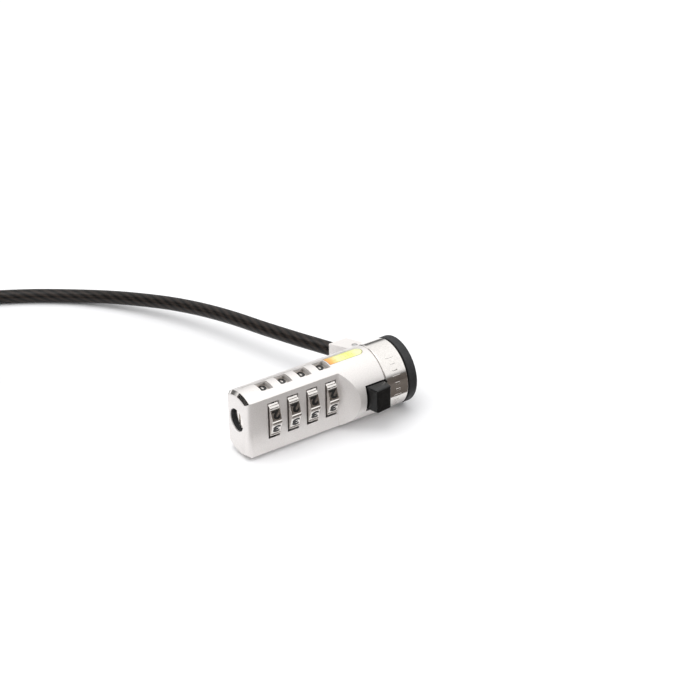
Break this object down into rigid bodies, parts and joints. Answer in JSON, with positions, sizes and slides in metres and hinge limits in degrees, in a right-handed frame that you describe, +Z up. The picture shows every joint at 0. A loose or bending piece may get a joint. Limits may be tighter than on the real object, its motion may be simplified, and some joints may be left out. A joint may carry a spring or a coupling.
{
  "type": "laptop cable lock",
  "caption": "Barrel combination lock with code dials, push button and T-bar nose for a laptop's security slot, on a sleeved steel cable wound in a coil with a crimped eye.",
  "frame": {"origin": "under the middle of the lock head without its cable, on the surface the head rests on", "axes": "+X along the barrel towards the rubber nose and T-bar, +Y from the code face towards the cable, +Z up"},
  "size_m": [0.1665, 0.1426, 0.0206],
  "materials": {
    "satin_nickel": "satin nickel plate on die-cast zinc",
    "bright_nickel": "polished nickel plate",
    "steel": "plain hardened steel",
    "brass": "turned",
    "black_plastic": "gloss",
    "black_rubber": "matte",
    "yellow_plastic": "satin, orange at the dial end",
    "cable_sleeve": "clear dark sleeve over twisted steel strands",
    "tie_fabric": "woven hook and loop strap"
  },
  "bodies": {
    "lock_body": {"front_housing": "satin_nickel", "rear_cover": "satin_nickel", "cover_screw_1": "steel", "cover_screw_2": "steel", "cover_screw_3": "steel", "cover_screw_4": "steel", "collar_ring": "bright_nickel", "nose_core": "steel", "core_screw_1": "steel", "core_screw_2": "steel", "spindle_bush": "brass", "nose_bumper": "black_rubber", "peg_plate": "steel", "detent_spring": "steel", "indicator_strip": "yellow_plastic", "anchor_pin": "steel"},
    "button": {"push_button": "black_plastic", "button_slider": "steel", "button_spring": "steel"},
    "t_bar": {"t_bar_spindle": "steel"},
    "spindle": {"locking_spindle": "steel", "spindle_spring": "steel"},
    "reset": {"reset_screw": "bright_nickel"},
    "cable_anchor": {"anchor_block": "satin_nickel", "cable_stop": "steel", "cable": "cable_sleeve", "cable_coil": "cable_sleeve", "cable_tail": "cable_sleeve", "loop_crimp": "steel", "cable_loop": "cable_sleeve", "coil_tie": "tie_fabric"},
    "dial_body_1": {"dial_1": "bright_nickel", "code_sleeve_1": "brass"},
    "dial_body_2": {"dial_2": "bright_nickel", "code_sleeve_2": "brass"},
    "dial_body_3": {"dial_3": "bright_nickel", "code_sleeve_3": "brass"},
    "dial_body_4": {"dial_4": "bright_nickel", "code_sleeve_4": "brass"}
  },
  "joints": [
    {"name": "button_push", "type": "slide", "parent": "lock_body", "child": "button", "axis": [0, 1, 0], "range_m": [0, 0.00236], "stiffness_N_per_m": 250, "springref_m": -0.002},
    {"name": "t_bar_turn", "type": "hinge", "parent": "lock_body", "child": "t_bar", "pos_m": [0.0122, -0.00245, 0.0103], "axis": [-1, 0, 0], "range_deg": [0, 90]},
    {"name": "spindle_slide", "type": "slide", "parent": "lock_body", "child": "spindle", "axis": [-1, 0, 0], "range_m": [0, 0.001]},
    {"name": "dial_turn_1", "type": "hinge", "parent": "lock_body", "child": "dial_body_1", "pos_m": [-0.021, -0.00165, 0.0116], "axis": [1, 0, 0], "continuous": true},
    {"name": "dial_turn_2", "type": "hinge", "parent": "lock_body", "child": "dial_body_2", "pos_m": [-0.0145, -0.00165, 0.0116], "axis": [1, 0, 0], "continuous": true},
    {"name": "dial_turn_3", "type": "hinge", "parent": "lock_body", "child": "dial_body_3", "pos_m": [-0.008, -0.00165, 0.0116], "axis": [1, 0, 0], "continuous": true},
    {"name": "dial_turn_4", "type": "hinge", "parent": "lock_body", "child": "dial_body_4", "pos_m": [-0.0015, -0.00165, 0.0116], "axis": [1, 0, 0], "continuous": true},
    {"name": "reset_turn", "type": "hinge", "parent": "lock_body", "child": "reset", "pos_m": [-0.0281, -0.00165, 0.0116], "axis": [-1, 0, 0], "range_deg": [0, 90]},
    {"name": "cable_pivot", "type": "hinge", "parent": "lock_body", "child": "cable_anchor", "pos_m": [0.0192, 0.01095, 0.0103], "axis": [0, 0, 1], "range_deg": [-50, 35]}
  ],
  "couplings": [
    {"joint": "t_bar_turn", "follows": "button_push", "rad_per_m": 666.67},
    {"joint": "spindle_slide", "follows": "button_push", "ratio": 0.4244}
  ]
}
